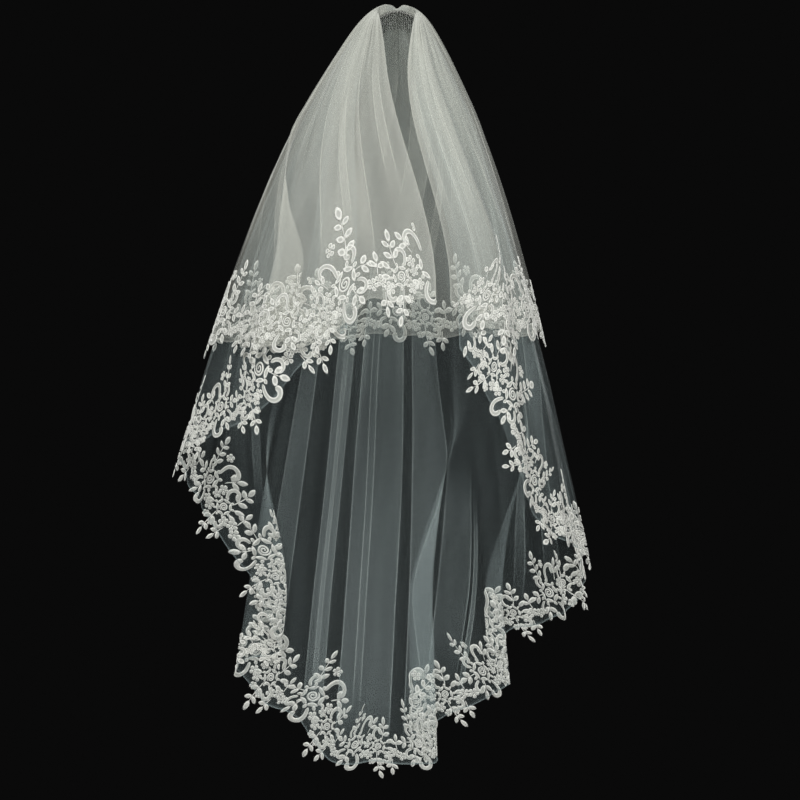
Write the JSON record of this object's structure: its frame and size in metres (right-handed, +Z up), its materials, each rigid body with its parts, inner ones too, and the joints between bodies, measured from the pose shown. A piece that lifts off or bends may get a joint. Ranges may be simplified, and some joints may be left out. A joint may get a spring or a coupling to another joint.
{
  "type": "bridal veil",
  "caption": "Two-tier tulle bridal veil gathered on a curved hair comb, with corded floral lace along both hems, in the draped form in which it is worn.",
  "frame": {"origin": "middle of the comb's spine, where the wearer's hair holds the veil", "axes": "+Z up; -Y to the wearer's front, where the upper tier parts; +X to the wearer's left"},
  "size_m": [0.6919, 0.3788, 1.318],
  "materials": {
    "comb_metal": "brushed",
    "tulle": "sheer soft net",
    "lace": "corded lace with a light satin sheen"
  },
  "bodies": {
    "root": {"comb": "comb_metal", "upper_tier": "tulle", "upper_lace": "lace", "lower_tier": "tulle", "lower_lace": "lace"}
  },
  "joints": []
}
